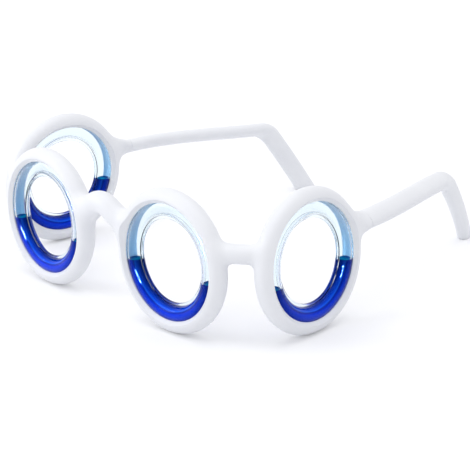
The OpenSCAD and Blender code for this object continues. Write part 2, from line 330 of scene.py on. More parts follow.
def bridge_station(f):
    """From the hump's top, f = 0, to the ring, f = 1."""
    far = f * (hump_arc + slope_l)
    a, along = min(far / hump_arc, 1) * hump_half, max(far - hump_arc, 0)
    place = [HUMP_R * math.sin(a) + along * math.cos(a),
             FRONT.centre[1] + bridge_back * f * f - BRIDGE_FORWARD,
             hump_top - HUMP_R * (1 - math.cos(a)) - along * math.sin(a)]
    t = [math.cos(a), 2 * bridge_back * f / join[0], -math.sin(a)]
    return (place, t, flare(f, BRIDGE_T / 2, BRIDGE_ROOT_H / 2, BRIDGE_FLARE),
            flare(f, BRIDGE_T / 2, BRIDGE_ROOT_W / 2, BRIDGE_FLARE), 0)


def bar_station(f):
    """From the front ring, f = -1, to the side ring, f = 1."""
    return ((bar_a + bar_b) / 2 + (bar_b - bar_a) * f / 2, bar_b - bar_a,
            flare(f, BAR_T / 2, BAR_ROOT_H / 2, LINK_FLARE),
            flare(f, BAR_T / 2, BAR_ROOT_W / 2, LINK_FLARE), 0)


def socket_station(f):
    """From the ring, f = 1, to a little beyond the seam, f < 0."""
    g = max(f, 0)
    return (seam + (root - seam) * f, seam_dir,
            flare(g, ARM_ROOT_WIDE / 2, SOCKET_ROOT_H / 2, LINK_FLARE),
            flare(g, ARM_ROOT_THIN / 2, SOCKET_ROOT_W / 2, LINK_FLARE), RUN_LEAN * (1 - g) ** 2)


def swept(station, start, end):
    return Sweep([station(f) for f in np.linspace(start, end, STATIONS)])


links = [(swept(bridge_station, 0, 1), BRIDGE_SOFT),
         (swept(bar_station, -1, 1), BAR_SOFT),
         (swept(socket_station, 1, -SOCKET_OVER / (SHELL_R + SOCKET_REACH)), SOCKET_SOFT)]


def smooth_min(a, b, k):
    h = np.maximum(k - np.abs(a - b), 0) / k
    return np.minimum(a, b) - h * h * k / 4


def torus(ring, p):
    q = ring.local(p)
    return np.hypot(np.hypot(q[:, 0], q[:, 1]) - RING_R, q[:, 2]) - SHELL_R


def body_distance(p):
    """Distance outside the white body before its windows are cut. Both halves alike."""
    p = np.column_stack([np.abs(p[:, 0]), p[:, 1:]])
    d = np.minimum(torus(FRONT, p), torus(SIDE, p))
    for sweep, k in links:
        d = smooth_min(d, sweep.distance(p), k)
    return d


def gradient(p, step=0.02):
    g = np.empty_like(p)
    for k in range(3):
        e = np.zeros(3)
        e[k] = step
        g[:, k] = body_distance(p + e) - body_distance(p - e)
    return g / (2 * step)


# The grid over the body's distance: its step, and how far it reaches
GRID = 0.7
GRID_HALF, GRID_FRONT, GRID_LOW, GRID_HIGH, GRID_SPARE = 78, -79, -1.37, 53.5, 2
# How often a point is drawn onto the surface, how far at most, and the least slope there
DRAWS, DRAW_MOST, FLAT_GRADIENT = 5, GRID / 3, 0.2


def crossing_places(d, cells):
    """For each cell, the mean place where its edges cross the surface, in grid steps."""
    total, hits = np.zeros((len(cells), 3)), np.zeros(len(cells))
    for a in (np.array(c) for c in np.ndindex(2, 2, 2)):
        for axis in range(3):
            if a[axis]:
                continue
            b = a.copy()
            b[axis] = 1
            da, db = d[tuple((cells + a).T)], d[tuple((cells + b).T)]
            cross = (da < 0) != (db < 0)
            s = np.where(cross, da / np.where(cross, da - db, 1), 0)
            total[cross] += (a + (b - a) * s[:, None])[cross]
            hits[cross] += 1
    return cells + total / hits[:, None]


def net_faces(inside, number):
    """One face across each grid edge that the surface crosses, turned outward."""
    quads = []
    for axis in range(3):
        u, v = (axis + 1) % 3, (axis + 2) % 3
        e = np.argwhere(np.diff(inside, axis=axis))
        e = e[(e[:, u] > 0) & (e[:, v] > 0) & (e < number.shape).all(1)]
        first = inside[tuple(e.T)]
        du, dv = np.eye(3, dtype=int)[u], np.eye(3, dtype=int)[v]
        q = np.stack([number[tuple((e - o).T)] for o in (0 * du, du, du + dv, dv)], -1)
        q[~first] = q[~first][:, ::-1]
        quads.append(q)
    return np.vstack(quads)


def body_mesh():
    """Surface nets over the body's distance, then each point is drawn onto the surface."""
    xs = (np.arange(int(GRID_HALF / GRID)) + 0.5) * GRID
    ys = np.arange(GRID_FRONT, seam[1] + SOCKET_OVER + GRID_SPARE, GRID)
    zs = np.arange(GRID_LOW, GRID_HIGH, GRID)
    g = np.stack(np.meshgrid(xs, ys, zs, indexing="ij"), -1)
    half = body_distance(g.reshape(-1, 3)).reshape(g.shape[:3])
    d = np.concatenate([half[::-1], half], 0)
    inside = d < 0
    nx, ny, nz = (n - 1 for n in d.shape)
    count = sum(inside[i:nx + i, j:ny + j, k:nz + k].astype(int)
                for i in (0, 1) for j in (0, 1) for k in (0, 1))
    cells = np.argwhere((count > 0) & (count < 8))
    number = np.full(count.shape, -1)
    number[tuple(cells.T)] = np.arange(len(cells))
    p = np.array([-xs[-1], ys[0], zs[0]]) + crossing_places(d, cells) * GRID
    for _ in range(DRAWS):
        n = gradient(p)
        move = body_distance(p) / np.maximum((n * n).sum(1), FLAT_GRADIENT)
        p = p - n * move.clip(-DRAW_MOST, DRAW_MOST)[:, None]
    return p, net_faces(inside, number)


# Material nodes
def set_inputs(made, **values):
    """Sets a node's inputs by name, with an underscore for each space."""
    for key, value in values.items():
        made.inputs[key.replace("_", " ")].default_value = value


def add_node(nt, kind, **values):
    made = nt.nodes.new("ShaderNode" + kind)
    set_inputs(made, **values)
    return made


def new_material(name):
    m = bpy.data.materials.new(name)
    m.use_nodes = True
    return m, m.node_tree, m.node_tree.nodes["Principled BSDF"]


def object_noise(nt, **values):
    made = add_node(nt, "TexNoise", **values)
    nt.links.new(add_node(nt, "TexCoord").outputs["Object"], made.inputs["Vector"])
    return made.outputs["Fac"]


def object_height(nt):
    split = add_node(nt, "SeparateXYZ")
    nt.links.new(add_node(nt, "TexCoord").outputs["Object"], split.inputs["Vector"])
    return split.outputs["Z"]


def carried(nt, value, low, high, low_at=0, high_at=1):
    """A value carried from the range low_at to high_at into low to high."""
    made = add_node(nt, "MapRange", From_Min=low_at, From_Max=high_at, To_Min=low, To_Max=high)
    nt.links.new(value, made.inputs["Value"])
    return made.outputs["Result"]


def shaded(nt, factor, low, high, low_at=0, high_at=1):
    """A colour between low and high by a factor."""
    made = add_node(nt, "ValToRGB")
    first, last = made.color_ramp.elements[0], made.color_ramp.elements[1]
    first.position, last.position = low_at, high_at
    first.color, last.color = (*low, 1), (*high, 1)
    nt.links.new(factor, made.inputs["Fac"])
    return made.outputs["Color"]


def seen_rays(nt):
    """One for rays from the camera, a gloss or a clear body, and nought for the others."""
    path = add_node(nt, "LightPath")
    seen = path.outputs["Is Camera Ray"]
    for kind in ("Is Glossy Ray", "Is Transmission Ray"):
        either = add_node(nt, "Math")
        either.operation = "MAXIMUM"
        nt.links.new(seen, either.inputs[0])
        nt.links.new(path.outputs[kind], either.inputs[1])
        seen = either.outputs[0]
    return seen


def mixed(nt, factor, first, second, output):
    """Shows the first shader at factor 0 and the second at 1."""
    mix = add_node(nt, "MixShader")
    for source, socket in zip((factor, first, second), mix.inputs):
        nt.links.new(source, socket)
    nt.links.new(mix.outputs[0], nt.nodes[output].inputs["Surface"])


# Materials
MOTTLE_SCALE, MOTTLE_DETAIL, MOTTLE_FROM, MOTTLE_TO = 60, 3, 0.3, 0.7
SATIN_LEAST, SATIN_MOST = 0.36, 0.46
GRAIN_SCALE, GRAIN_DETAIL, GRAIN_STRENGTH, GRAIN_DEPTH = 2500, 2, 0.12, 0.00002
WHITE_IOR, WHITE_SPECULAR = 1.45, 0.45
CLEAR_NOISE, CLEAR_UNEVEN, CLEAR_ROUGH = 90, 1.03, 0.02
WATER_NOISE, WATER_UNEVEN, WATER_ROUGH, WATER_IOR = 45, 0.08, 0.25, 1.33
# Painted shade by height: the liquid is made brighter at the lower height and darker at the upper
WATER_LOW, WATER_HIGH = 0.003, 0.022
WATER_LOW_PAINTED_LIGHT, WATER_HIGH_PAINTED_SHADE = 1.45, 0.38
# Names how far across its tube a spot of the liquid is, from 0 at the eye to 1 at the rim
ACROSS = "across_tube"


def white_plastic(name, low, high):
    """Satin white plastic: faint mottling of colour and gloss and a fine grain."""
    m, nt, b = new_material(name)
    mottle = object_noise(nt, Scale=MOTTLE_SCALE, Detail=MOTTLE_DETAIL)
    nt.links.new(shaded(nt, mottle, low, high, MOTTLE_FROM, MOTTLE_TO), b.inputs["Base Color"])
    nt.links.new(carried(nt, mottle, SATIN_LEAST, SATIN_MOST), b.inputs["Roughness"])
    grain = object_noise(nt, Scale=GRAIN_SCALE, Detail=GRAIN_DETAIL)
    bump = add_node(nt, "Bump", Strength=GRAIN_STRENGTH, Distance=GRAIN_DEPTH)
    nt.links.new(grain, bump.inputs["Height"])
    nt.links.new(bump.outputs["Normal"], b.inputs["Normal"])
    set_inputs(b, IOR=WHITE_IOR, Specular_IOR_Level=WHITE_SPECULAR)
    return m


def let_lamps_through(nt, bsdf):
    """Rays from the lamps pass the clear wall, so that what is behind it is lit."""
    path = add_node(nt, "LightPath")
    clear = add_node(nt, "BsdfTransparent", Color=(1, 1, 1, 1))
    mixed(nt, path.outputs["Is Shadow Ray"], bsdf.outputs["BSDF"], clear.outputs["BSDF"],
          "Material Output")


def clear_plastic(name, ior, tint, shine=(1, 1, 1)):
    """Clear plastic, with a tint that is a little uneven."""
    m, nt, b = new_material(name)
    noise = object_noise(nt, Scale=CLEAR_NOISE)
    pale = [min(1, c * CLEAR_UNEVEN) for c in tint]
    nt.links.new(shaded(nt, noise, tint, pale), b.inputs["Base Color"])
    set_inputs(b, Transmission_Weight=1, Roughness=CLEAR_ROUGH, IOR=ior, Specular_Tint=(*shine, 1))
    let_lamps_through(nt, b)
    return m


def dyed_water_painted_shade(name, dye_and_painted_bands):
    """Dyed blue liquid, with painted bands of shade and highlight along the tube, and painted shade by
    height.
    """
    m, nt, b = new_material(name)
    across = add_node(nt, "Attribute")
    across.attribute_name = ACROSS
    noise = object_noise(nt, Scale=WATER_NOISE)
    add = add_node(nt, "Math")
    nt.links.new(across.outputs["Fac"], add.inputs[0])
    nt.links.new(carried(nt, noise, -WATER_UNEVEN, WATER_UNEVEN), add.inputs[1])
    ramp = add_node(nt, "ValToRGB")
    while len(ramp.color_ramp.elements) < len(dye_and_painted_bands):
        ramp.color_ramp.elements.new(0.5)
    for stop, (at, colour) in zip(ramp.color_ramp.elements, dye_and_painted_bands):
        stop.position, stop.color = at, (*colour, 1)
    nt.links.new(add.outputs["Value"], ramp.inputs["Fac"])
    painted_height_light = carried(nt, object_height(nt), WATER_LOW_PAINTED_LIGHT, WATER_HIGH_PAINTED_SHADE, WATER_LOW, WATER_HIGH)
    painted_shade = add_node(nt, "HueSaturation")
    nt.links.new(painted_height_light, painted_shade.inputs["Value"])
    nt.links.new(ramp.outputs["Color"], painted_shade.inputs["Color"])
    nt.links.new(painted_shade.outputs["Color"], b.inputs["Base Color"])
    set_inputs(b, Roughness=WATER_ROUGH, IOR=WATER_IOR, Specular_IOR_Level=0.0)
    return m


def paint_dye_light_by_height(material, low_at, high_at, painted_blue_cast, painted_glow_low, painted_glow_high, painted_glow):
    """Painted light: a blue cast deepening toward the liquid and a glow, for the light the dye scatters."""
    nt = material.node_tree
    b = nt.nodes["Principled BSDF"]
    height = carried(nt, object_height(nt), 0, 1, low_at, high_at)
    mix = add_node(nt, "Mix")
    mix.data_type, mix.blend_type = "RGBA", "MULTIPLY"
    mix.inputs["Factor"].default_value = 1
    nt.links.new(b.inputs["Base Color"].links[0].from_socket, mix.inputs["A"])
    nt.links.new(shaded(nt, height, painted_blue_cast, (1, 1, 1)), mix.inputs["B"])
    nt.links.new(mix.outputs["Result"], b.inputs["Base Color"])
    nt.links.new(shaded(nt, height, painted_glow_low, painted_glow_high), b.inputs["Emission Color"])
    set_inputs(b, Emission_Strength=painted_glow)


WHITE = white_plastic("white_shell", low=(0.80, 0.81, 0.84), high=(0.83, 0.84, 0.865))
LIP = white_plastic("shell_lip", low=(0.80, 0.815, 0.845), high=(0.83, 0.84, 0.865))
# The white wall of a tube's groove, with painted pale blue light and a painted glow from the tube and the dye
GROOVE_WALL_PAINTED_BLUE_LIGHT = white_plastic("groove_wall_painted_blue_light", low=(0.48, 0.68, 0.86), high=(0.52, 0.71, 0.89))
paint_dye_light_by_height(GROOVE_WALL_PAINTED_BLUE_LIGHT, low_at=0.021, high_at=0.040, painted_blue_cast=(0.66, 0.88, 1.0),
               painted_glow_low=(0.30, 0.62, 1.0), painted_glow_high=(0.66, 0.74, 0.95), painted_glow=0.20)
# A tube's gloss is tinted, or the white surroundings would bleach the blue behind it
SHINE = (0.05, 0.16, 0.8)
CLEAR = clear_plastic("clear_tube", 1.46, (0.88, 0.945, 1.0), SHINE)
BORE_DRY = clear_plastic("clear_tube_bore", 1.46, (0.92, 0.965, 1.0), SHINE)
BORE_WET = clear_plastic("clear_tube_wet", 1.02, (0.95, 0.98, 1.0), SHINE)
BOND = clear_plastic("clear_tube_bond", 1.0, (1.0, 1.0, 1.0))
# The dye's blue with painted dark edges and painted light and dark bands across the tube, for the light its
# wall bends
BLUE = dyed_water_painted_shade("blue_liquid", [
    (0.0, (0.0, 0.014, 0.25)), (0.13, (0.0, 0.06, 0.75)), (0.20, (0.01, 0.13, 0.90)),
    (0.28, (0.0, 0.014, 0.40)), (0.42, (0.0, 0.04, 0.78)), (0.62, (0.0, 0.042, 0.72)),
    (0.84, (0.0, 0.028, 0.54)), (1.0, (0.0, 0.004, 0.14))])
# The liquid's surface: a painted bright cyan band across its middle between deeper blue edges
BLUE_TOP = dyed_water_painted_shade("blue_liquid_top", [
    (0.0, (0.0, 0.10, 0.60)), (0.5, (0.0, 0.50, 1.0)), (1.0, (0.0, 0.12, 0.70))])

# White body: both halves' rings, bridge, bars and sockets in one smooth moulding
RING_STEPS, GROOVE_STEPS = 288, 41
CUT_Z = 5.2
LIP_START, LIP_BULGE, LIP_END = 0.3, (0.04, -0.03), 0.6
WALL_NEAR = 1.5
SPIGOT_R, SPIGOT_L, SPIGOT_FLAT, SPIGOT_GAP, SEAM_GAP = 1.5, 7.0, 1.15, 0.05, 0.1
SPIGOT_STEPS = 48
HOLE_OVER = 1
SEAM_CUT_HALF, SEAM_CUT_LONG = 9, 8
BODY_SHARP = 24
WHITE_SLOT, LIP_SLOT, WALL_SLOT = range(3)
BODY_LOOKS = [WHITE, LIP, GROOVE_WALL_PAINTED_BLUE_LIGHT]
seam_up = np.array([0, 0, 1.0])
seam_side = sideways(seam_dir)


def cutter_profile():
    """Half section of what a ring's window and groove take away, from the axis outward."""
    reach = (CUT_Z - LIP_Z) / tand(SHOULDER)
    edge = math.sqrt((TUBE_T + GROOVE) ** 2 - (WINDOW_R - TUBE_R) ** 2)
    a = math.degrees(math.atan2(edge, WINDOW_R - TUBE_R))
    groove = arc((TUBE_R, 0), TUBE_T + GROOVE, a, -a, GROOVE_STEPS)
    r = LIP_ROUND
    slope = np.array([cosd(SHOULDER), sind(SHOULDER)])
    lip = np.array([WINDOW_R, LIP_Z])
    top = [[0, CUT_Z], [WINDOW_R + reach, CUT_Z], lip + slope * r,
           lip + slope * r * LIP_START + LIP_BULGE, lip - [0, r * LIP_END]]
    return np.vstack([top, groove, [[q[0], -q[1]] for q in top[::-1]]])


def cutter_slots(profile):
    """The groove's wall and the lips beside it, which the cut faces take."""
    far = np.hypot(profile[1:-1, 0] - TUBE_R, profile[1:-1, 1])
    wall = far < TUBE_T + GROOVE * WALL_NEAR
    walls = np.tile(np.where(wall[1:] & wall[:-1], WALL_SLOT, LIP_SLOT), RING_STEPS)
    return np.concatenate([walls, np.full(2 * RING_STEPS, LIP_SLOT)])


def d_section(r, flat):
    t = np.linspace(0, 2 * math.pi, SPIGOT_STEPS, endpoint=False)
    return np.stack([r * np.cos(t), np.minimum(r * np.sin(t), flat)], -1)


def along_seam(section, at):
    """A section in the arm's axes, carried a distance forwards from the seam."""
    return seam - seam_dir * at + np.outer(section[:, 0], seam_side) + np.outer(section[:, 1], seam_up)


def cut(ob, verts, faces, hand, slots=None):
    v, f = for_hand(*outward(verts, faces), hand)
    if slots is None:
        slots = np.full(len(f), LIP_SLOT)
    boolean(ob, to_object("tool", v, f, BODY_LOOKS, slots=slots), "DIFFERENCE")


def cut_body(ob):
    """Cuts the windows with their grooves, the seams and the blind holes."""
    profile = cutter_profile()
    verts, faces = capped_lathe(profile, RING_STEPS)
    slots = cutter_slots(profile)
    beyond_seam = np.array([[-1, -1], [1, -1], [1, 1], [-1, 1]], float) * SEAM_CUT_HALF
    hole = d_section(SPIGOT_R + SPIGOT_GAP, SPIGOT_FLAT + SPIGOT_GAP)
    for hand in (1, -1):
        for ring in (FRONT, SIDE):
            cut(ob, ring.place(verts), faces, hand, slots)
        cut(ob, *loft([along_seam(beyond_seam, 0), along_seam(beyond_seam, -SEAM_CUT_LONG)]), hand)
        cut(ob, *loft([along_seam(hole, -HOLE_OVER), along_seam(hole, SPIGOT_L + SPIGOT_GAP)]), hand)


def true_normals(ob):
    """Shades the moulded faces by the body's own gradient, and the cut ones as they lie."""
    mesh = ob.data
    corner = np.zeros(len(mesh.loops) * 3, np.float32)
    mesh.corner_normals.foreach_get("vector", corner)
    corner = corner.reshape(-1, 3)
    verts = np.zeros(len(mesh.vertices) * 3, np.float32)
    mesh.vertices.foreach_get("co", verts)
    at = np.zeros(len(mesh.loops), np.int32)
    mesh.loops.foreach_get("vertex_index", at)
    slot = np.zeros(len(mesh.polygons), np.int32)
    mesh.polygons.foreach_get("material_index", slot)
    size = np.zeros(len(mesh.polygons), np.int32)
    mesh.polygons.foreach_get("loop_total", size)
    moulded = np.repeat(slot == WHITE_SLOT, size)
    n = gradient(verts.reshape(-1, 3).astype(float) / MM)
    n /= np.maximum(np.linalg.norm(n, axis=1), TINY)[:, None]
    corner[moulded] = n[at][moulded]
    mesh.normals_split_custom_set(corner.tolist())


body = to_object("moulding", *body_mesh(), BODY_LOOKS)
cut_body(body)
sharpen(body, BODY_SHARP)
true_normals(body)
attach(body, "frame")
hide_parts("front_left_housing", "front_right_housing", "side_left_housing",
            "side_right_housing", "nose_bridge", "left_side_bar", "right_side_bar",
            "left_arm_socket", "right_arm_socket")

# Tubes, each of two clear halves, and half the width of the bond line between them
BOND_HALF = 0.012
FLANGE_ROUND, ROUND_SHARE = 0.15, 0.3
TUBE_STEPS, BORE_STEPS = 49, 41
TUBE_SHARP = 30
CLEAR_SLOT, DRY_SLOT, BOND_SLOT, WET_SLOT = range(4)
TUBE_LOOKS = [CLEAR, BORE_DRY, BOND, BORE_WET]


def capsule_half():
    """Closed section of the outer half: flange, tube wall and bond face, with slots."""
    meet = math.degrees(math.asin(FLANGE_HALF / TUBE_T))
    r, share = FLANGE_ROUND, FLANGE_ROUND * ROUND_SHARE
    flange = [[FLANGE_IN, BOND_HALF], [FLANGE_IN, FLANGE_HALF - r],
              [FLANGE_IN + share, FLANGE_HALF - share], [FLANGE_IN + r, FLANGE_HALF]]
    outside = arc((TUBE_R, 0), TUBE_T, 180 - meet, 0, TUBE_STEPS)
    bore = arc((TUBE_R, 0), CHANNEL_T, 0, 180, BORE_STEPS)
    outside[-1, 1] = bore[0, 1] = bore[-1, 1] = BOND_HALF
    slots = ([CLEAR_SLOT] * (len(flange) + len(outside) - 1) + [BOND_SLOT]
             + [DRY_SLOT] * (len(bore) - 1) + [BOND_SLOT])
    return np.vstack([flange, outside, bore]), slots


capsule_profile, capsule_slots = capsule_half()
capsule_verts, capsule_faces = lathe(capsule_profile, RING_STEPS)


def put(name, verts, faces, ring, hand, materials, slots):
    v, f = for_hand(ring.place(verts), faces, hand)
    return to_object(name, v, f, materials, slots=slots)


def make_tube_half(name, half, ring, hand):
    sign = HALVES[half]
    faces = capsule_faces if sign > 0 else [q[::-1] for q in capsule_faces]
    v, f = outward(capsule_verts * [1, 1, sign], faces)
    height = (v @ [0, cosd(ring.lean), sind(ring.lean)])[np.array(f)].mean(1)
    slots = np.tile(capsule_slots, RING_STEPS)
    wet = (slots == DRY_SLOT) & (height < MENISCUS - liquid_drop(name))
    slots = np.where(wet, WET_SLOT, slots)
    ob = put(name + "_tube_" + half, v, f, ring, hand, TUBE_LOOKS, slots)
    sharpen(ob, TUBE_SHARP)
    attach(ob, "frame")
    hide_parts(name + "_capsule_" + half)


for name, (ring, hand) in RINGS.items():
    for half in HALVES:
        make_tube_half(name, half, ring, hand)

# Liquid
LIQUID_AROUND, LIQUID_ALONG, LIQUID_RINGS = 48, 150, 10
LIQUID_SHARP = 50
DEEP_SLOT, TOP_SLOT = range(2)


def liquid_surface(section, up):
    """Rings from a section of the tube in to its middle, falling away from the wall."""
    mid = section.mean(0)
    out = []
    for t in np.linspace(1, 0, LIQUID_RINGS, endpoint=False)[1:]:
        fall = MENISCUS * (1 - math.exp(-(1 - t) / MENISCUS_W))
        out.append(mid + (section - mid) * t - up * fall)
    return out, mid - up * MENISCUS


def liquid_mesh(lean, drop):
    """Fills the channel below its level, with the surface drawn up at the wall."""
    phi = np.linspace(0, 2 * math.pi, LIQUID_AROUND, endpoint=False)
    rho, z = TUBE_R + LIQUID_T * np.cos(phi), LIQUID_T * np.sin(phi)
    edge = MENISCUS - drop
    top = np.arcsin((edge - z * sind(lean)) / (rho * cosd(lean)))
    sections = []
    for s in np.linspace(0, 1, LIQUID_ALONG):
        turn = top + (-math.pi - 2 * top) * s
        sections.append(np.stack([rho * np.cos(turn), rho * np.sin(turn), z], -1))
    up = np.array([0, cosd(lean), sind(lean)])
    first, first_mid = liquid_surface(sections[0], up)
    last, last_mid = liquid_surface(sections[-1], up)
    rows = first[::-1] + sections + last
    verts, faces = loft(rows, capped=False)
    verts = np.vstack([verts, [first_mid, last_mid]])
    n, m, crown = len(rows), LIQUID_AROUND, len(first)
    slots = [TOP_SLOT if j < crown or j >= n - 1 - crown else DEEP_SLOT
             for j in range(n - 1) for _ in range(m)]
    slots += [TOP_SLOT] * (2 * m)
    for i in range(m):
        j = (i + 1) % m
        faces.append([len(verts) - 2, j, i])
        faces.append([len(verts) - 1, (n - 1) * m + i, (n - 1) * m + j])
    return *outward(verts, faces), slots


def make_liquid(name, ring, hand):
    v, f, slots = liquid_mesh(ring.lean, liquid_drop(name))
    ob = put(name + "_water", v, f, ring, hand, [BLUE, BLUE_TOP], slots)
    far = np.hypot(v[:, 0], v[:, 1]) - TUBE_R
    across = ob.data.attributes.new(ACROSS, "FLOAT", "POINT")
    across.data.foreach_set("value", (0.5 + far / LIQUID_T / 2).astype(np.float32))
    sharpen(ob, LIQUID_SHARP)
    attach(ob, name + "_liquid")
    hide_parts(name + "_liquid")


def finish_plug(name):
    """The fill plug is the frame's own solid, welded in and as clear as the bond."""
    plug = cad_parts[name + "_fill_plug"]
    plug.data.materials.clear()
    plug.data.materials.append(BOND)


for name, (ring, hand) in RINGS.items():
    make_liquid(name, ring, hand)
    finish_plug(name)

# Arms
ARM_WIDE, ARM_THIN, ARM_IN, BEND_IN, RUN_ANGLE, ARM_RUN = 7.8, 5.1, 15.1, 13.7, 4.0, 63.2
BEND_Z, BEND_R, TAIL_START, TAIL_START_IN, TAIL_ANGLE, TAIL_IN = 29.0, 10.0, 55.0, 9.5, 57.7, 16.5
TAIL_LEAN, ARM_POWER, ROOT_POWER, ROOT_SHARE = 6, 2.3, 2, 0.45
ARM_SIDES, RUN_ROWS, BEND_ROWS, TAIL_ROWS = 64, 60, 20, 24
ARM_EDGE, EDGE_SHARE, RUN_FROM = 0.15, 0.3, 0.02
FOOT_ROOM, FOOT_EDGE = 1.2, 0.25
# How far in, as a share, and how far up the arm each of the foot's last two rings lies
FOOT_RINGS = ((0.03, 0.08), (0.08, 0.0))
LEAD_L, LEAD_R, LEAD_FLAT = 0.3, 0.25, 0.2
ARM_SHARP = 30


def heading(turned, drop):
    """The way back along an arm, turned inward and falling."""
    return np.array([-sind(turned), cosd(turned), -tand(drop)])


corner = seam + heading(ARM_IN, 0) * ARM_RUN
corner[2] = BEND_Z
pull_a = seam + seam_dir * ARM_RUN / 3
pull_b = corner - heading(BEND_IN, RUN_ANGLE) * ARM_RUN / 3


def run_place(s):
    return (seam * (1 - s) ** 3 + pull_a * 3 * s * (1 - s) ** 2
            + pull_b * 3 * s * s * (1 - s) + corner * s ** 3)


def run_slope(s):
    return unit((pull_a - seam) * (1 - s) ** 2 + (pull_b - pull_a) * 2 * s * (1 - s)
                + (corner - pull_b) * s * s)


tail_dir = unit(heading(TAIL_START_IN, TAIL_START))
bend_at = 1 - BEND_R * math.tan(math.acos(run_slope(1) @ tail_dir) / 2) / ARM_RUN
bend_dir = run_slope(bend_at)
turn = math.acos(bend_dir @ tail_dir)
turn_dir = unit(tail_dir - bend_dir * (bend_dir @ tail_dir))


def bend_place(f):
    return run_place(bend_at) + BEND_R * (math.sin(turn * f) * bend_dir + (1 - math.cos(turn * f)) * turn_dir)


bend_end = bend_place(1)
foot = corner + heading(TAIL_IN, TAIL_ANGLE) * BEND_Z / tand(TAIL_ANGLE)
pull_c = bend_end + tail_dir * np.linalg.norm(foot - bend_end) / 2


def curve(a, power):
    return np.sign(a) * np.abs(a) ** (2 / power)


def arm_ring(place, t, half_h, half_w, lean, power):
    """A section of the arm: an ellipse at power 2, and fuller at its corners above."""
    t = unit(t)
    side = sideways(t)
    up = np.cross(t, side)
    tall, wide = up * cosd(lean) + side * sind(lean), side * cosd(lean) - up * sind(lean)
    a = np.linspace(0, 2 * math.pi, ARM_SIDES, endpoint=False)
    return (place + np.outer(half_h * curve(np.sin(a), power), tall)
            + np.outer(half_w * curve(np.cos(a), power), wide))


def ease(f):
    c = min(max(f, 0), 1)
    return c * c * (3 - 2 * c)


def root_rings():
    """The rounded front edge, behind the seam."""
    start = seam + seam_dir * SEAM_GAP
    share = ARM_EDGE * EDGE_SHARE
    return [arm_ring(start + seam_dir * back, seam_dir, ARM_ROOT_WIDE / 2 - inset,
                     ARM_ROOT_THIN / 2 - inset, RUN_LEAN, ROOT_POWER)
            for back, inset in ((0, ARM_EDGE), (share, share), (ARM_EDGE, 0))]


def run_rings():
    wide, thin = ARM_ROOT_WIDE / 2, ARM_ROOT_THIN / 2
    for f in np.linspace(RUN_FROM, 1, RUN_ROWS):
        g = ease(f / ROOT_SHARE)
        yield arm_ring(run_place(bend_at * f), run_slope(bend_at * f),
                       wide + (ARM_WIDE / 2 - wide) * g, thin + (ARM_THIN / 2 - thin) * g,
                       RUN_LEAN, ROOT_POWER + (ARM_POWER - ROOT_POWER) * g)


def bend_rings():
    for f in np.linspace(0, 1, BEND_ROWS)[1:]:
        t = math.cos(turn * f) * bend_dir + math.sin(turn * f) * turn_dir
        yield arm_ring(bend_place(f), t, ARM_WIDE / 2, ARM_THIN / 2,
                       RUN_LEAN + (TAIL_LEAN - RUN_LEAN) * f, ARM_POWER)


def tail_rings():
    for f in np.linspace(0, 1, TAIL_ROWS)[1:]:
        place = bend_end * (1 - f) ** 2 + pull_c * 2 * f * (1 - f) + foot * f * f
        t = unit((pull_c - bend_end) * (1 - f) + (foot - pull_c) * f)
        yield arm_ring(place, t, ARM_WIDE / 2, ARM_THIN / 2, TAIL_LEAN, ARM_POWER)


def arm_mesh():
    """The arm from the seam to its flat foot, which the ground plane cuts."""
    rows = [*root_rings(), *run_rings(), *bend_rings(), *tail_rings()]
    t = unit(foot - pull_c)
    last = rows.pop()
    sole = last - t * (last[:, 2:] / t[2])
    while rows[-1][:, 2].min() < FOOT_ROOM:
        rows.pop()
    rows.append(sole - t * FOOT_EDGE / abs(t[2]))
    mid = sole.mean(0)
    for inset, lift in FOOT_RINGS:
        rows.append(mid + (sole - mid) * (1 - inset) - t * lift)
    return outward(*loft(rows))


def spigot_mesh():
    rod = d_section(SPIGOT_R, SPIGOT_FLAT)
    tip = d_section(SPIGOT_R - LEAD_R, SPIGOT_FLAT - LEAD_FLAT)
    end = SPIGOT_L - SEAM_GAP
    return outward(*loft([along_seam(rod, -SPIGOT_L / 2), along_seam(rod, end - LEAD_L),
                          along_seam(tip, end)]))


arm_shell, spigot = arm_mesh(), spigot_mesh()
for side, hand in (("left", 1), ("right", -1)):
    ob = to_object(side + "_temple", *for_hand(*arm_shell, hand), [WHITE])
    boolean(ob, to_object("tool", *for_hand(*spigot, hand), [WHITE]), "UNION")
    sharpen(ob, ARM_SHARP)
    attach(ob, side + "_arm")
    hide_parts(side + "_arm")

# Floor and background. The floor's lift grows between two distances from the middle
FLOOR_HALF, FLOOR_SINK = 1500, 0.02
FLOOR_NOISE, FLOOR_ROUGH = 8, 0.9
FLOOR_LOW, FLOOR_HIGH = (0.87, 0.875, 0.89), (0.89, 0.89, 0.90)
LIFT_FROM, LIFT_TO, LIFT_LEAST, LIFT_MOST = 0.15, 0.8, 0.12, 0.30
AMBIENT, AMBIENT_COLOUR = 0.82, (0.965, 0.972, 1.0, 1)


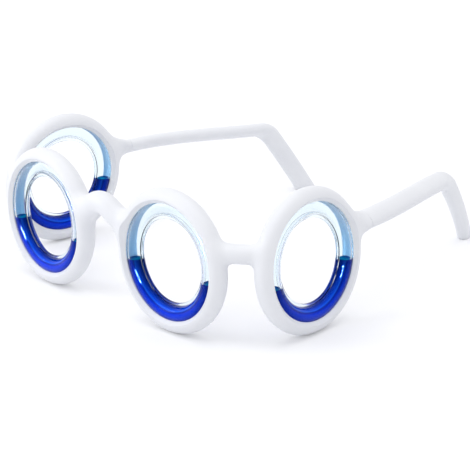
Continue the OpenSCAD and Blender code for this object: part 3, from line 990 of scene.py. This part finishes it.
def floor_material():
    """A white sheet that keeps the shadow, and is lifted to white for seen rays alone."""
    m, nt, b = new_material("floor")
    noise = add_node(nt, "TexNoise", Scale=FLOOR_NOISE)
    nt.links.new(shaded(nt, noise.outputs["Fac"], FLOOR_LOW, FLOOR_HIGH), b.inputs["Base Color"])
    set_inputs(b, Roughness=FLOOR_ROUGH, Specular_IOR_Level=0.0)
    away = add_node(nt, "VectorMath")
    away.operation = "LENGTH"
    nt.links.new(add_node(nt, "TexCoord").outputs["Object"], away.inputs[0])
    lift = add_node(nt, "Emission")
    strength = carried(nt, away.outputs["Value"], LIFT_LEAST, LIFT_MOST, LIFT_FROM, LIFT_TO)
    nt.links.new(strength, lift.inputs["Strength"])
    lifted = add_node(nt, "AddShader")
    nt.links.new(b.outputs[0], lifted.inputs[0])
    nt.links.new(lift.outputs[0], lifted.inputs[1])
    mixed(nt, seen_rays(nt), b.outputs[0], lifted.outputs[0], "Material Output")
    return m


def studio_world():
    """A soft ambient light that seen rays find plain white."""
    world = bpy.data.worlds.new("studio")
    world.use_nodes = True
    nt = world.node_tree
    ambient = nt.nodes["Background"]
    set_inputs(ambient, Color=AMBIENT_COLOUR, Strength=AMBIENT)
    white = add_node(nt, "Background", Color=(1, 1, 1, 1), Strength=1)
    mixed(nt, seen_rays(nt), ambient.outputs[0], white.outputs[0], "World Output")
    return world


h = FLOOR_HALF
floor_corners = [[-h, -h, -FLOOR_SINK], [h, -h, -FLOOR_SINK], [h, h, -FLOOR_SINK], [-h, h, -FLOOR_SINK]]
floor = to_object("floor", floor_corners, [[0, 1, 2, 3]], [floor_material()], smooth=False)
bpy.context.scene.world = studio_world()

# Lamps
MIDDLE = (0, -0.02, 0.02)
GLINT_FAR, GLINT_WIDE, GLINT_TALL, GLINT_WATTS = 0.6, 0.07, 0.26, 48
# Above this many matt bounces a glint lamp gives nothing
SCATTERED = 0.5
# Where each tube shows a streak, and the way to its lamp from there
GLINTS = {
    "front_left": ((0.0201, -0.0731, 0.0169), (0.23, -0.94, 0.25)),
    "side_left": ((0.0704, -0.0223, 0.0184), (0.73, -0.55, 0.41)),
    "front_right": ((-0.0494, -0.0720, 0.0161), (-0.14, -0.97, 0.19))}


def lamp(name, place, target, size, watts, colour=(1, 1, 1)):
    data = bpy.data.lights.new(name, "AREA")
    data.shape, data.size, data.energy, data.color = "DISK", size, watts, colour
    ob = bpy.data.objects.new(name, data)
    bpy.context.scene.collection.objects.link(ob)
    ob.location = place
    ob.rotation_euler = (Vector(target) - Vector(place)).to_track_quat("-Z", "Y").to_euler()
    return ob


def glint_lamp(name, spot, way):
    """A small lamp that reaches one tube alone, and nothing after a matt surface."""
    place = tuple(a + b * GLINT_FAR for a, b in zip(spot, way))
    ob = lamp("glint_" + name, place, spot, GLINT_WIDE, GLINT_WATTS)
    ob.data.shape, ob.data.size_y = "ELLIPSE", GLINT_TALL
    ob.visible_camera = ob.visible_diffuse = ob.visible_transmission = False
    ob.data.use_nodes = True
    nt = ob.data.node_tree
    unscattered = add_node(nt, "Math")
    unscattered.operation = "LESS_THAN"
    unscattered.inputs[1].default_value = SCATTERED
    nt.links.new(add_node(nt, "LightPath").outputs["Diffuse Depth"], unscattered.inputs[0])
    nt.links.new(unscattered.outputs[0], nt.nodes["Emission"].inputs["Strength"])
    reached = bpy.data.collections.new("reached_by_" + ob.name)
    for half in HALVES:
        reached.objects.link(bpy.data.objects[name + "_tube_" + half])
    ob.light_linking.receiver_collection = reached


lamp("key", place=(0.05, -0.10, 0.85), target=MIDDLE, size=0.9, watts=2.15, colour=(1, 0.99, 0.98))
lamp("fill", place=(-0.45, -0.60, 0.35), target=MIDDLE, size=0.5, watts=1.6, colour=(0.97, 0.98, 1))
for name, (spot, way) in GLINTS.items():
    glint_lamp(name, spot, way)

# Camera, fitted to the rings in the photograph. Its middle is a pixel of the photograph
EYE = (0.49952, FRONT.centre[1] * MM - 0.38411, 0.24998)
YAW, PITCH, ROLL = 48.175, 19.690, -1.873
FOCAL_PX, MID_U, MID_V, IMAGE = 1863.96, 239.92, 235.38, 470
SENSOR = 36
CLIP_NEAR, CLIP_FAR = 0.01, 20


def fitted_camera():
    forward = Vector((-sind(YAW) * cosd(PITCH), cosd(YAW) * cosd(PITCH), -sind(PITCH)))
    flat = Vector((cosd(YAW), sind(YAW), 0))
    upward = flat.cross(forward)
    right = cosd(ROLL) * flat + sind(ROLL) * upward
    top = cosd(ROLL) * upward - sind(ROLL) * flat
    data = bpy.data.cameras.new("camera")
    data.sensor_width = SENSOR
    data.lens = FOCAL_PX / IMAGE * SENSOR
    data.shift_x = (IMAGE / 2 - MID_U) / IMAGE
    data.shift_y = (MID_V - IMAGE / 2) / IMAGE
    data.clip_start, data.clip_end = CLIP_NEAR, CLIP_FAR
    ob = bpy.data.objects.new("camera", data)
    bpy.context.scene.collection.objects.link(ob)
    ob.matrix_world = Matrix((
        (right.x, top.x, -forward.x, EYE[0]),
        (right.y, top.y, -forward.y, EYE[1]),
        (right.z, top.z, -forward.z, EYE[2]),
        (0, 0, 0, 1)))
    return ob


bpy.context.scene.camera = fitted_camera()
bpy.context.scene.view_settings.view_transform = "Standard"
